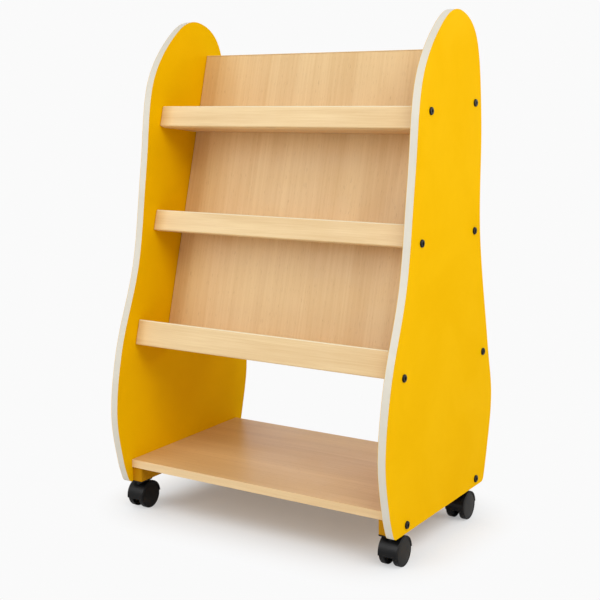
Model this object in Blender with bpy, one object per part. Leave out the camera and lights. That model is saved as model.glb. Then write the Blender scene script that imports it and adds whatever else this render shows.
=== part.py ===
"""Mobile face-out book display for children.

Two shaped side panels carry a leaning back, three tilted ledges with front lips, a base shelf and three
rear rails. Four twin-wheel casters stand under the panels. Metres, +Z up, front towards -Y, and the origin
on the floor under the middle of the side panels.
"""
import math
from collections import namedtuple

import bmesh
import bpy
from mathutils import Matrix, Vector

# Overall sizes
WIDTH = 0.700
PANEL_HEIGHT = 1.045
PANEL_DEPTH = 0.500
BOARD = 0.018
BACK_BOARD = 0.015
GAP = 0.0003

# Outline of a side panel, as shares of its depth and height, from the front foot over to the rear foot
OUTLINE = (
    (-0.430, 0.000), (-0.462, 0.043), (-0.500, 0.159), (-0.451, 0.302), (-0.323, 0.476), (-0.254, 0.677),
    (-0.186, 0.867), (-0.001, 0.976), (0.165, 0.998), (0.318, 0.942), (0.367, 0.778), (0.363, 0.547),
    (0.452, 0.309), (0.500, 0.181), (0.450, 0.056), (0.416, 0.000),
)
SPAN_STEPS = 5
CORNER_RADIUS = 0.014
CORNER_STEPS = 4
BAND = 0.002

# Leaning back
BACK_LEAN = math.radians(15.3)
BACK_TOP_DROP = 0.078
BACK_TOP_INSET = 0.058
BACK_FOOT = 0.012

# Ledges and lips, bottom to top; heights are those of the lips' middles above the foot of the panels
LEDGES = ("bottom", "middle", "top")
BOTTOM_LEDGE_HEIGHT = 0.343
MIDDLE_LEDGE_HEIGHT = 0.592
TOP_LEDGE_HEIGHT = 0.8275
LEDGE_HEIGHTS = (BOTTOM_LEDGE_HEIGHT, MIDDLE_LEDGE_HEIGHT, TOP_LEDGE_HEIGHT)
LEDGE_TILT = math.radians(6.5)
BOTTOM_LIP_HEIGHT = 0.057
UPPER_LIP_HEIGHT = 0.047
LIP_HEIGHTS = (BOTTOM_LIP_HEIGHT, UPPER_LIP_HEIGHT, UPPER_LIP_HEIGHT)
LIP_INSET = 0.041
LIP_ROUND = 0.006
BOTTOM_LIP_BOLT_DROP = 0.022
MIDDLE_LIP_BOLT_DROP = 0.0125
TOP_LIP_BOLT_RISE = 0.014
LIP_BOLT_RISES = (-BOTTOM_LIP_BOLT_DROP, -MIDDLE_LIP_BOLT_DROP, TOP_LIP_BOLT_RISE)
LIP_BOLT_DEPTH = 0.007

# Base shelf and the battens that carry it
SHELF_RISE = 0.034
SHELF_INSET = 0.024
BATTEN_MARGIN = 0.0014
BATTEN_SETBACK = 0.003
BATTEN_ROUND = 0.006

# Rear rails, bottom to top
BOTTOM_RAIL_HEIGHT = 0.301
MIDDLE_RAIL_HEIGHT = 0.577
TOP_RAIL_HEIGHT = 0.852
RAIL_HEIGHTS = (BOTTOM_RAIL_HEIGHT, MIDDLE_RAIL_HEIGHT, TOP_RAIL_HEIGHT)
RAIL_HEIGHT = 0.060
RAIL_INSET = 0.031

# Casters; the margins are from the corners of the panel's foot to the nearest edge of the plate
CASTER_FRONT_MARGIN = 0.010
CASTER_REAR_MARGIN = 0.063
TRAIL = 0.012
PLATE = 0.042
PLATE_THICKNESS = 0.0025
PLATE_CORNER = 0.004
PLATE_HOLE_INSET = 0.008
STEM_RADIUS = 0.005
STEM_LENGTH = 0.022
AXLE_RADIUS = 0.004
WHEEL_RADIUS = 0.030
WHEEL_WIDTH = 0.0128
WHEEL_SEGMENTS = 24
WHEEL_ROUND = 0.0016
COVER_DROP = 0.0008
HUB_WALL = 0.0037
RIM = 0.004
WHEEL_RECESS = 0.0045
WHEEL_WEB = 0.0025
HOOD_WALL = 0.0020
HOOD_CLEARANCE = 0.0010
HOOD_FRONT = math.radians(-8)
HOOD_REAR = math.radians(176)
HOOD_STEPS = 20
HOOD_WEB = 0.017
HOOD_WEB_FRONT = math.radians(30)
HOOD_WEB_REAR = math.radians(150)
BOSS_WALL = 0.0032
RUNNING_GAP = 0.0006
PIN_GAP = 0.0003
PIN_SEGMENTS = 16

# Fixings; base bolts stand behind the caster plates, the rear ones by a margin
BOLT_HEAD_RADIUS = 0.0075
BOLT_HEAD_HEIGHT = 0.0034
BOLT_SHANK_RADIUS = 0.0030
BOLT_LENGTH = 0.040
BOLT_SIDES = 10
SCREW_HEAD_RADIUS = 0.0036
SCREW_HEAD_HEIGHT = 0.0006
SCREW_SHANK_RADIUS = 0.0019
SCREW_LENGTH = 0.015
SCREW_SIDES = 8
Fixing = namedtuple("Fixing", "head_radius head_height shank_radius length sides")
SIDE_BOLT = Fixing(BOLT_HEAD_RADIUS, BOLT_HEAD_HEIGHT, BOLT_SHANK_RADIUS, BOLT_LENGTH, BOLT_SIDES)
CASTER_SCREW = Fixing(SCREW_HEAD_RADIUS, SCREW_HEAD_HEIGHT, SCREW_SHANK_RADIUS, SCREW_LENGTH, SCREW_SIDES)
HEAD_CROWN = 0.65
HOLE_GAP = 0.0003
REAR_BASE_BOLT_MARGIN = 0.022
BASE_BOLT_MARGINS = {"front": 0, "rear": REAR_BASE_BOLT_MARGIN}
DOWEL_RADIUS = 0.004
DOWEL_REACH = 0.011
DOWEL_SIDES = 10
BACK_DOWEL_INSET = 0.070
SHELF_DOWEL_OFFSET = 0.090

# How finely round edges are made and shaded
ROUND_SEGMENTS = 3
SMOOTH_ANGLE = math.radians(35)

# Worked out from the sizes above
INNER = WIDTH / 2 - BOARD
SPAN = INNER - GAP
AXLE_HEIGHT = WHEEL_RADIUS
HOOD_INNER = WHEEL_RADIUS + HOOD_CLEARANCE
HOOD_OUTER = HOOD_INNER + HOOD_WALL
FOOT = AXLE_HEIGHT + HOOD_OUTER + RUNNING_GAP + SCREW_HEAD_HEIGHT + PLATE_THICKNESS + GAP
BOSS_RADIUS = STEM_RADIUS + PIN_GAP + BOSS_WALL
AXLE_BORE = AXLE_RADIUS + PIN_GAP
HUB_RADIUS = AXLE_BORE + HUB_WALL
WHEEL_INNER_FACE = max(HOOD_WEB / 2, BOSS_RADIUS) + RUNNING_GAP
CASTER_HALF_WIDTH = WHEEL_INNER_FACE + WHEEL_WIDTH
CASTER_X = WIDTH / 2 - max(CASTER_HALF_WIDTH, PLATE / 2)
PLATE_HOLE_REACH = PLATE / 2 - PLATE_HOLE_INSET
BATTEN = SPAN - (CASTER_X - PLATE / 2 - BATTEN_MARGIN)
UP_BACK = Vector((0, math.sin(BACK_LEAN), math.cos(BACK_LEAN)))
OFF_BACK = Vector((0, -math.cos(BACK_LEAN), math.sin(BACK_LEAN)))
SIDES = (("left", -1), ("right", 1))


# Materials

def material(name, colour, roughness, metallic=0.0):
    """A plain Principled finish."""
    finish = bpy.data.materials.new(name)
    finish.use_nodes = True
    shader = finish.node_tree.nodes["Principled BSDF"]
    shader.inputs["Base Color"].default_value = (*colour, 1)
    shader.inputs["Roughness"].default_value = roughness
    shader.inputs["Metallic"].default_value = metallic
    return finish


def make_materials():
    """Every finish on the piece, by name."""
    return {
        "yellow": material("yellow_laminate", (0.90, 0.52, 0.01), 0.35),
        "cream": material("cream_edging", (0.72, 0.68, 0.58), 0.45),
        "beech": material("beech_laminate", (0.62, 0.40, 0.20), 0.45),
        "lip": material("light_beech", (0.80, 0.60, 0.36), 0.40),
        "moulded": material("black_moulded_plastic", (0.012, 0.012, 0.013), 0.45),
        "black_steel": material("black_steel", (0.02, 0.02, 0.022), 0.40, 0.8),
        "steel": material("zinc_steel", (0.60, 0.60, 0.58), 0.35, 1.0),
    }


# Building blocks

def clear_scene():
    """Remove everything that the new file came with."""
    for thing in list(bpy.data.objects):
        bpy.data.objects.remove(thing, do_unlink=True)


def add_object(name, shape, finish=None, location=(0, 0, 0), lean=0.0, smooth=False):
    """Turn a bmesh into a named object, leaning it back about X if asked."""
    bmesh.ops.recalc_face_normals(shape, faces=shape.faces)
    mesh = bpy.data.meshes.new(name)
    shape.to_mesh(mesh)
    shape.free()
    return place(name, mesh, finish, location, lean, smooth)


def place(name, mesh, finish=None, location=(0, 0, 0), lean=0.0, smooth=False):
    """Put a mesh in the scene as a named object."""
    thing = bpy.data.objects.new(name, mesh)
    bpy.context.scene.collection.objects.link(thing)
    thing.location = location
    thing.rotation_euler = (-lean, 0, 0)
    if finish is not None and not mesh.materials:
        mesh.materials.append(finish)
    if smooth:
        mesh.shade_smooth()
        mesh.set_sharp_from_angle(angle=SMOOTH_ANGLE)
    return thing


def prism(outline, x0, x1):
    """A closed outline of (y, z) points, carried from x0 to x1."""
    shape = bmesh.new()
    near = [shape.verts.new((x0, y, z)) for y, z in outline]
    far = [shape.verts.new((x1, y, z)) for y, z in outline]
    shape.faces.new(near)
    shape.faces.new(far)
    for i in range(len(outline)):
        j = (i + 1) % len(outline)
        shape.faces.new((near[i], near[j], far[j], far[i]))
    return shape


def box(width, depth, height):
    """A box centred on its own origin."""
    shape = bmesh.new()
    bmesh.ops.create_cube(shape, size=1.0, matrix=Matrix.Diagonal((width, depth, height, 1)))
    return shape


def round_off(shape, edges, radius):
    """Round some edges of a shape."""
    bmesh.ops.bevel(shape, geom=edges, offset=radius, segments=ROUND_SEGMENTS, profile=0.5, affect="EDGES")


def lathe(shape, profile, sides, matrix):
    """Turn a profile of (radius, height) points about Z, then move it by the matrix."""
    rings = []
    for radius, height in profile:
        count = sides if radius > 0 else 1
        ring = []
        for k in range(count):
            turn = 2 * math.pi * (k + 0.5) / sides
            point = Vector((radius * math.cos(turn), radius * math.sin(turn), height))
            ring.append(shape.verts.new(matrix @ point))
        rings.append(ring)
    for upper, lower in zip(rings, rings[1:]):
        for k in range(sides):
            j = (k + 1) % sides
            path = ((upper, k), (upper, j), (lower, j), (lower, k))
            corners = dict.fromkeys(ring[i % len(ring)] for ring, i in path)
            shape.faces.new(list(corners))


def pin(radius, top, foot):
    """Profile of a plain round pin or bore."""
    return (0, top), (radius, top), (radius, foot), (0, foot)


def aimed(point, direction):
    """Matrix that puts the origin at a point and turns Z along a direction."""
    turn = Vector(direction).to_track_quat("Z", "Y").to_matrix().to_4x4()
    return Matrix.Translation(point) @ turn


def carve(target, cutter, operation="DIFFERENCE"):
    """Cut one object with another, or join it on, and drop the second."""
    step = target.modifiers.new("carve", "BOOLEAN")
    step.operation = operation
    step.object = cutter
    bpy.context.view_layer.update()
    shaped = target.evaluated_get(bpy.context.evaluated_depsgraph_get())
    mesh = bpy.data.meshes.new_from_object(shaped)
    target.modifiers.remove(step)
    plain = target.data
    target.data = mesh
    mesh.name = plain.name
    bpy.data.meshes.remove(plain)
    bpy.data.objects.remove(cutter, do_unlink=True)


# Fixings

def fixing_profile(kind):
    """The turned outline of a headed fixing, with its head above zero."""
    crown = HEAD_CROWN * kind.head_radius
    return (
        (0, kind.head_height), (crown, kind.head_height), (kind.head_radius, 0),
        (kind.shank_radius, 0), (kind.shank_radius, -kind.length), (0, -kind.length),
    )


def drill(target, kind, seats):
    """Holes for fixings, each on a seat: a point under its head and the way that the head faces."""
    shape = bmesh.new()
    profile = pin(kind.shank_radius + HOLE_GAP, BOARD, -kind.length - HOLE_GAP)
    for point, out in seats:
        lathe(shape, profile, kind.sides, aimed(point, out))
    carve(target, add_object("drill", shape))


def dowels(seats, grow=0.0):
    """Round dowels, each half in the piece that carries it, or the holes that they go in if grown."""
    shape = bmesh.new()
    profile = pin(DOWEL_RADIUS + grow, DOWEL_REACH + grow, -DOWEL_REACH - grow)
    for point, out in seats:
        lathe(shape, profile, DOWEL_SIDES, aimed(point, out))
    return add_object("dowels", shape)


# Outline of the side panels

def outline_curve():
    """The panel's smooth edge from the front foot over the top to the rear foot, above the floor."""
    knots = [Vector((y * PANEL_DEPTH, FOOT + z * PANEL_HEIGHT)) for y, z in OUTLINE]
    curve = [knots[0]]
    for i in range(1, len(knots) - 2):
        before, start, end, after = knots[i - 1:i + 3]
        for step in range(SPAN_STEPS):
            t = step / SPAN_STEPS
            bend = (2 * before - 5 * start + 4 * end - after) * t ** 2
            twist = (3 * start - before - 3 * end + after) * t ** 3
            curve.append(start + ((end - before) * t + bend + twist) / 2)
    return curve + knots[-2:]


def fillet(before, corner, after, radius):
    """Points of a round corner between two straight edges."""
    back = (before - corner).normalized()
    ahead = (after - corner).normalized()
    half = back.angle(ahead) / 2
    reach = radius / math.tan(half)
    centre = corner + (back + ahead).normalized() * radius / math.sin(half)
    start = corner + back * reach - centre
    turn = start.angle_signed(corner + ahead * reach - centre)
    points = []
    for step in range(CORNER_STEPS + 1):
        angle = -turn * step / CORNER_STEPS
        spun = Matrix.Rotation(angle, 2) @ start
        points.append(centre + spun)
    return points


def panel_outline(inset=0.0):
    """The closed outline of a side panel, drawn in by an inset all round."""
    curve = outline_curve()
    front = fillet(curve[-1], curve[0], curve[1], CORNER_RADIUS)
    rear = fillet(curve[-2], curve[-1], curve[0], CORNER_RADIUS)
    loop = front + curve[1:-1] + rear
    drawn = []
    for i, point in enumerate(loop):
        arrive = (point - loop[i - 1]).normalized()
        leave = (loop[(i + 1) % len(loop)] - point).normalized()
        out_a = Vector((-arrive.y, arrive.x))
        out_b = Vector((-leave.y, leave.x))
        drawn.append(point - (out_a + out_b) * inset / (1 + out_a.dot(out_b)))
    return drawn


def edge_y(side, height):
    """Where the front (-1) or rear (1) edge of a side panel lies at a height above the floor."""
    curve = outline_curve()
    top = max(range(len(curve)), key=lambda i: curve[i].y)
    stretch = curve[:top + 1] if side < 0 else curve[top:][::-1]
    for low, high in zip(stretch, stretch[1:]):
        if low.y <= height <= high.y:
            return low.x + (high.x - low.x) * (height - low.y) / (high.y - low.y)
    raise ValueError(f"no panel edge at a height of {height}")


# Places worked out from the outline

def back_point():
    """The top of the leaning back's front face."""
    height = FOOT + PANEL_HEIGHT - BACK_TOP_DROP
    return Vector((0, edge_y(1, height) - BACK_TOP_INSET, height))


def lip_middle(index):
    """The middle of a lip's front face."""
    height = FOOT + LEDGE_HEIGHTS[index]
    return Vector((0, edge_y(-1, height) + LIP_INSET, height))


def ledge_section(index):
    """Corners of a ledge board: front bottom, front top, rear top and rear bottom."""
    rearward = Vector((0, math.cos(LEDGE_TILT), -math.sin(LEDGE_TILT)))
    front = lip_middle(index) - UP_BACK * LIP_HEIGHTS[index] / 2 - OFF_BACK * (BOARD + GAP)
    clear = (front - back_point()).dot(OFF_BACK) - GAP
    rear = front + rearward * clear / -rearward.dot(OFF_BACK)
    rise = UP_BACK * BOARD / math.cos(BACK_LEAN - LEDGE_TILT)
    return front, front + rise, rear + rise, rear


def back_foot():
    """The foot of the leaning back's front face, just under the bottom ledge."""
    top = back_point()
    drop = (top - ledge_section(0)[3]).dot(UP_BACK) + BACK_FOOT
    return top - UP_BACK * drop


def rail_centre(index):
    """The middle of a rear rail."""
    height = FOOT + RAIL_HEIGHTS[index]
    return Vector((0, edge_y(1, height) - RAIL_INSET, height))


def shelf_ends():
    """The front and rear edges of the base shelf, edging included."""
    height = FOOT + SHELF_RISE + BOARD / 2
    return edge_y(-1, height) + SHELF_INSET, edge_y(1, height) - SHELF_INSET


def stem_rows():
    """How far back the swivel axes of the front and rear casters stand."""
    foot = outline_curve()
    front = foot[0].x + CASTER_FRONT_MARGIN + PLATE / 2
    rear = foot[-1].x - CASTER_REAR_MARGIN - PLATE / 2
    return ("front", front), ("rear", rear)


# Seats of the fixings

def side_bolt_seats(side):
    """Seats of one side's bolts, by the name of the piece that each one holds."""
    middles = {}
    for index, name in enumerate(LEDGES):
        lip = lip_middle(index) - OFF_BACK * LIP_BOLT_DEPTH
        middles[f"lip_{name}"] = lip + UP_BACK * LIP_BOLT_RISES[index]
        middles[f"rail_{name}"] = rail_centre(index)
    for row, y in stem_rows():
        behind = y + PLATE / 2 + BASE_BOLT_MARGINS[row]
        middles[f"base_{row}"] = Vector((0, behind, FOOT + SHELF_RISE / 2))
    out = Vector((side, 0, 0))
    return {name: (Vector((side * (WIDTH / 2 + GAP), m.y, m.z)), out) for name, m in middles.items()}


def caster_screw_seats(x, y, outward):
    """Seats under a caster plate, in the row under the panel (1) or in that under the batten (-1)."""
    across = x + math.copysign(PLATE_HOLE_REACH, x) * outward
    level = FOOT - GAP - PLATE_THICKNESS
    rows = (y - PLATE_HOLE_REACH, y + PLATE_HOLE_REACH)
    return [(Vector((across, row, level)), Vector((0, 0, -1))) for row in rows]


def back_dowel_seats():
    """Where the back's dowels cross into the side panels."""
    top = back_point() - OFF_BACK * BACK_BOARD / 2
    foot = back_foot() - OFF_BACK * BACK_BOARD / 2
    places = (foot + UP_BACK * BACK_DOWEL_INSET, (foot + top) / 2, top - UP_BACK * BACK_DOWEL_INSET)
    return [(Vector((side * INNER, p.y, p.z)), Vector((side, 0, 0))) for _, side in SIDES for p in places]


def shelf_dowel_seats(side):
    """Where one batten's dowels cross into the base shelf."""
    middle = side * (SPAN - BATTEN / 2)
    (_, front), (_, rear) = stem_rows()
    rows = (front + SHELF_DOWEL_OFFSET, rear - SHELF_DOWEL_OFFSET)
    return [(Vector((middle, y, FOOT + SHELF_RISE)), Vector((0, 0, 1))) for y in rows]


# Boards

def make_side_panel(name, side, finishes):
    """One shaped side panel with its edging, drilled for everything that it carries."""
    x0, x1 = sorted((side * INNER, side * WIDTH / 2))
    board = add_object(f"side_panel_{name}", prism(panel_outline(BAND + GAP), x0, x1), finishes["yellow"])
    band = make_edge_band(name, x0, x1, finishes["cream"])
    drill(board, SIDE_BOLT, side_bolt_seats(side).values())
    carve(board, dowels(back_dowel_seats(), HOLE_GAP))
    for _, y in stem_rows():
        seats = caster_screw_seats(side * CASTER_X, y, 1)
        drill(board, CASTER_SCREW, seats)
        drill(band, CASTER_SCREW, seats)


def make_edge_band(name, x0, x1, finish):
    """The edging strip that runs right round a side panel."""
    shape = bmesh.new()
    loops = []
    for inset, x in ((0, x0), (0, x1), (BAND, x1), (BAND, x0)):
        loops.append([shape.verts.new((x, p.x, p.y)) for p in panel_outline(inset)])
    count = len(loops[0])
    for this, other in zip(loops, loops[1:] + loops[:1]):
        for i in range(count):
            j = (i + 1) % count
            shape.faces.new((this[i], this[j], other[j], other[i]))
    return add_object(f"edge_band_{name}", shape, finish)


def make_side_bolts(name, side, finishes):
    """The eight dark bolts that hold everything between the panels, seen from outside as round heads."""
    for place_name, (point, out) in side_bolt_seats(side).items():
        shape = bmesh.new()
        lathe(shape, fixing_profile(SIDE_BOLT), SIDE_BOLT.sides, aimed((0, 0, 0), out))
        add_object(f"side_bolt_{name}_{place_name}", shape, finishes["black_steel"], point, smooth=True)


def make_back(finishes):
    """The leaning back with its dowels into the side panels, and the edging on its top."""
    top, foot = back_point(), back_foot()
    length = (top - foot).length - BAND - GAP
    middle = foot + UP_BACK * length / 2 - OFF_BACK * BACK_BOARD / 2
    back = add_object("back_panel", box(2 * SPAN, BACK_BOARD, length), finishes["beech"], middle, BACK_LEAN)
    carve(back, dowels(back_dowel_seats()), "UNION")
    strip = top - UP_BACK * BAND / 2 - OFF_BACK * BACK_BOARD / 2
    add_object("back_top_edging", box(2 * SPAN, BACK_BOARD, BAND), finishes["lip"], strip, BACK_LEAN)


def make_lip(index, finishes):
    """A front lip with rounded front edges and ends, bolted through both side panels."""
    shape = box(2 * SPAN, BOARD, LIP_HEIGHTS[index])
    front = [edge for edge in shape.edges if all(v.co.y < 0 for v in edge.verts)]
    round_off(shape, front, LIP_ROUND)
    middle = lip_middle(index) - OFF_BACK * BOARD / 2
    lip = add_object(f"ledge_lip_{LEDGES[index]}", shape, finishes["lip"], middle, BACK_LEAN, smooth=True)
    drill(lip, SIDE_BOLT, [side_bolt_seats(side)[f"lip_{LEDGES[index]}"] for _, side in SIDES])


def make_ledge(index, finishes):
    """A tilted ledge board between its lip and the back."""
    section = [(p.y, p.z) for p in ledge_section(index)]
    add_object(f"ledge_board_{LEDGES[index]}", prism(section, -SPAN, SPAN), finishes["beech"])


def make_rail(index, finishes):
    """A rear rail that ties the side panels together."""
    shape = box(2 * SPAN, BOARD, RAIL_HEIGHT)
    rail = add_object(f"rear_rail_{LEDGES[index]}", shape, finishes["beech"], rail_centre(index))
    drill(rail, SIDE_BOLT, [side_bolt_seats(side)[f"rail_{LEDGES[index]}"] for _, side in SIDES])


def make_shelf(finishes):
    """The flat base shelf with edging on its front and rear."""
    front, rear = shelf_ends()
    depth = rear - front - 2 * (BAND + GAP)
    level = FOOT + SHELF_RISE + BOARD / 2
    middle = (front + rear) / 2
    shelf = add_object("base_shelf", box(2 * SPAN, depth, BOARD), finishes["beech"], (0, middle, level))
    for _, side in SIDES:
        carve(shelf, dowels(shelf_dowel_seats(side), HOLE_GAP))
    for name, y in (("front", front + BAND / 2), ("rear", rear - BAND / 2)):
        strip = box(2 * SPAN, BAND, BOARD)
        add_object(f"shelf_edging_{name}", strip, finishes["lip"], (0, y, level))


def make_batten(name, side, finishes):
    """The batten under one end of the base shelf, which also takes the casters' inner screws."""
    front, rear = shelf_ends()
    height = SHELF_RISE - GAP
    shape = box(BATTEN, rear - front - 2 * BATTEN_SETBACK, height)
    inner = [edge for edge in shape.edges if all(v.co.x * side < 0 for v in edge.verts)]
    open_edges = [edge for edge in inner if any(v.co.z < 0 for v in edge.verts)]
    round_off(shape, open_edges, BATTEN_ROUND)
    middle = (side * (SPAN - BATTEN / 2), (front + rear) / 2, FOOT + height / 2)
    batten = add_object(f"caster_batten_{name}", shape, finishes["yellow"], middle)
    carve(batten, dowels(shelf_dowel_seats(side)), "UNION")
    for row, y in stem_rows():
        drill(batten, SIDE_BOLT, [side_bolt_seats(side)[f"base_{row}"]])
        drill(batten, CASTER_SCREW, caster_screw_seats(side * CASTER_X, y, -1))


# Casters

def arc(radius, start, end, steps):
    """Points about the axle, from the top of the swivel axis; angles run from the front over the top."""
    angles = [start + (end - start) * k / steps for k in range(steps + 1)]
    drop = AXLE_HEIGHT - FOOT
    return [(TRAIL - radius * math.cos(a), drop + radius * math.sin(a)) for a in angles]


def hood_mesh(finish):
    """The moulded hood about its swivel axis: curved cover, middle web, stem boss and both bores."""
    half = CASTER_HALF_WIDTH
    outer = arc(HOOD_OUTER, HOOD_FRONT, HOOD_REAR, HOOD_STEPS)
    inner = arc(HOOD_INNER, HOOD_REAR, HOOD_FRONT, HOOD_STEPS)
    hood = add_object("hood", prism(outer + inner, -half, half), finish)

    steps = HOOD_STEPS // 2
    crown = arc((HOOD_OUTER + HOOD_INNER) / 2, HOOD_WEB_FRONT, HOOD_WEB_REAR, steps)
    grip = arc(AXLE_BORE + BOSS_WALL, HOOD_WEB_REAR, 2 * math.pi + HOOD_WEB_FRONT, steps)
    carve(hood, add_object("web", prism(crown + grip, -HOOD_WEB / 2, HOOD_WEB / 2)), "UNION")

    upright = Matrix.Identity(4)
    through = aimed((0, TRAIL, AXLE_HEIGHT - FOOT), (1, 0, 0))
    boss_top = -GAP - PLATE_THICKNESS - RUNNING_GAP
    bore_foot = -GAP - PLATE_THICKNESS - STEM_LENGTH - RUNNING_GAP
    boss = bmesh.new()
    lathe(boss, pin(BOSS_RADIUS, boss_top, bore_foot - BOSS_WALL), PIN_SEGMENTS, upright)
    carve(hood, add_object("boss", boss), "UNION")
    stem_bore = bmesh.new()
    lathe(stem_bore, pin(STEM_RADIUS + PIN_GAP, 0, bore_foot), PIN_SEGMENTS, upright)
    carve(hood, add_object("stem_bore", stem_bore))
    axle_bore = bmesh.new()
    lathe(axle_bore, pin(AXLE_BORE, half, -half), PIN_SEGMENTS, through)
    carve(hood, add_object("axle_bore", axle_bore))
    mesh = hood.data
    bpy.data.objects.remove(hood, do_unlink=True)
    return mesh


def wheel_mesh(finish):
    """A wheel about its axle, facing +X: blind hub, recessed inner face, rounded tread and domed cover."""
    flat = 1 / math.cos(math.pi / WHEEL_SEGMENTS)
    blind = WHEEL_WIDTH - WHEEL_WEB
    rim = WHEEL_RADIUS - RIM
    shoulder = WHEEL_RADIUS - WHEEL_ROUND
    cover = WHEEL_WIDTH - COVER_DROP
    profile = (
        (0, WHEEL_WIDTH), (shoulder, cover), (WHEEL_RADIUS, cover - WHEEL_ROUND), (WHEEL_RADIUS, WHEEL_ROUND),
        (shoulder, 0), (rim, 0), (rim, WHEEL_RECESS), (HUB_RADIUS, WHEEL_RECESS), (HUB_RADIUS, 0),
        (AXLE_BORE, 0), (AXLE_BORE, blind), (0, blind),
    )
    shape = bmesh.new()
    lathe(shape, [(r * flat, h) for r, h in profile], WHEEL_SEGMENTS, aimed((0, 0, 0), (1, 0, 0)))
    wheel = add_object("wheel", shape, finish, smooth=True)
    mesh = wheel.data
    bpy.data.objects.remove(wheel, do_unlink=True)
    return mesh


def plate_outline():
    """The square top plate with round corners, as (x, y)."""
    half = PLATE / 2 - PLATE_CORNER
    points = []
    for quarter in range(4):
        middle = Matrix.Rotation(quarter * math.pi / 2, 2) @ Vector((half, half))
        for step in range(CORNER_STEPS):
            angle = math.pi / 2 * (quarter + step / (CORNER_STEPS - 1))
            points.append(middle + PLATE_CORNER * Vector((math.cos(angle), math.sin(angle))))
    return points


def make_plate(name, x, y, finishes):
    """A caster's top plate with the four screws that hold it up to the panel and the batten."""
    shape = bmesh.new()
    face = shape.faces.new([shape.verts.new((*point, 0)) for point in plate_outline()])
    solid = bmesh.ops.extrude_face_region(shape, geom=[face])
    lower = [v for v in solid["geom"] if isinstance(v, bmesh.types.BMVert)]
    bmesh.ops.translate(shape, verts=lower, vec=(0, 0, -PLATE_THICKNESS))
    plate = add_object(f"caster_plate_{name}", shape, finishes["black_steel"], (x, y, FOOT - GAP))
    for outward in (1, -1):
        for point, out in caster_screw_seats(x, y, outward):
            screw = bmesh.new()
            lathe(screw, fixing_profile(CASTER_SCREW), CASTER_SCREW.sides, aimed(point, out))
            carve(plate, add_object("screw", screw), "UNION")


def make_stem(name, x, y, finishes):
    """The pin under the plate that the hood swivels on."""
    shape = bmesh.new()
    profile = pin(STEM_RADIUS, -PLATE_THICKNESS - GAP, -PLATE_THICKNESS - STEM_LENGTH)
    lathe(shape, profile, PIN_SEGMENTS, Matrix.Identity(4))
    add_object(f"caster_stem_{name}", shape, finishes["steel"], (x, y, FOOT - GAP), smooth=True)


def make_axle(name, x, y, finishes):
    """The axle pin that carries both wheels of a caster."""
    shape = bmesh.new()
    half = CASTER_HALF_WIDTH - WHEEL_WEB - PIN_GAP
    lathe(shape, pin(AXLE_RADIUS, half, -half), PIN_SEGMENTS, aimed((0, 0, 0), (1, 0, 0)))
    add_object(f"caster_axle_{name}", shape, finishes["steel"], (x, y + TRAIL, AXLE_HEIGHT), smooth=True)


def make_casters(finishes):
    """Four casters: plate, stem, hood, axle and two wheels each."""
    hood = hood_mesh(finishes["moulded"])
    wheel = wheel_mesh(finishes["moulded"])
    for row, y in stem_rows():
        for hand, side in SIDES:
            name, x = f"{row}_{hand}", side * CASTER_X
            make_plate(name, x, y, finishes)
            make_stem(name, x, y, finishes)
            place(f"caster_hood_{name}", hood, location=(x, y, FOOT), smooth=True)
            make_axle(name, x, y, finishes)
            for end, facing in SIDES:
                turned = place(f"caster_wheel_{name}_{end}", wheel, smooth=True)
                turned.location = (x + facing * WHEEL_INNER_FACE, y + TRAIL, AXLE_HEIGHT)
                turned.rotation_euler = (0, 0, 0 if facing > 0 else math.pi)


def main():
    """Build every piece of the display."""
    clear_scene()
    finishes = make_materials()
    for name, side in SIDES:
        make_side_panel(name, side, finishes)
        make_batten(name, side, finishes)
        make_side_bolts(name, side, finishes)
    make_back(finishes)
    for index in range(len(LEDGES)):
        make_ledge(index, finishes)
        make_lip(index, finishes)
        make_rail(index, finishes)
    make_shelf(finishes)
    make_casters(finishes)


main()
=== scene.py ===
"""Looks of the mobile book display: boards, edging, casters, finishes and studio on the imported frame."""

import logging
import math
from collections.abc import Callable, Iterable
from dataclasses import dataclass
from enum import Enum
from functools import cache

import bmesh
import bpy
from mathutils import Matrix, Vector


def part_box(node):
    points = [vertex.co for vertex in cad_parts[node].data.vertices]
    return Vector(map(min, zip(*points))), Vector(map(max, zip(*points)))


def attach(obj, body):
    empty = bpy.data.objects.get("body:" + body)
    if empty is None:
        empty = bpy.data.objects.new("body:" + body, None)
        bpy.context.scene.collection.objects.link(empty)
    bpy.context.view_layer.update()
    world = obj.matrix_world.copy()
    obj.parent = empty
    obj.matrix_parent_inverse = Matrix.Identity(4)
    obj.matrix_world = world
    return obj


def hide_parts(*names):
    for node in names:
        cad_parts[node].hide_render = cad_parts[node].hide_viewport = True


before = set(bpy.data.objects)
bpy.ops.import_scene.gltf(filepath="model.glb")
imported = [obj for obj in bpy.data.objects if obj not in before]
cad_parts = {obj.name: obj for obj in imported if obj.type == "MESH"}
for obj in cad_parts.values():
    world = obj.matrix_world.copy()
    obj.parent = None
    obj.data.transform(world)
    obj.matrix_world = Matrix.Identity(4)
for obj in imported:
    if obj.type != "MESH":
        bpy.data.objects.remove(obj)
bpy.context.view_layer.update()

log = logging.getLogger("book_display")

Colour = tuple[float, float, float]
Triple = tuple[float, float, float]

# Vertices closer than MERGE become one, and places closer than NEAR_FACE lie on one face.
# Faces join up to the angle FLAT, and edges stay sharp from the angle SHARP.
MERGE = 1e-5
NEAR_FACE = 0.0005
FLAT = math.radians(0.5)
SHARP = math.radians(38)

LEAN = math.radians(15.3)
TOOTH_PITCH = 700.0
CARCASS = "carcass"
# Attribute that marks rims whose lighter wood colour is a painted highlight.
PAINTED_HIGHLIGHT_EDGE = "painted_highlight_edge"


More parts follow.
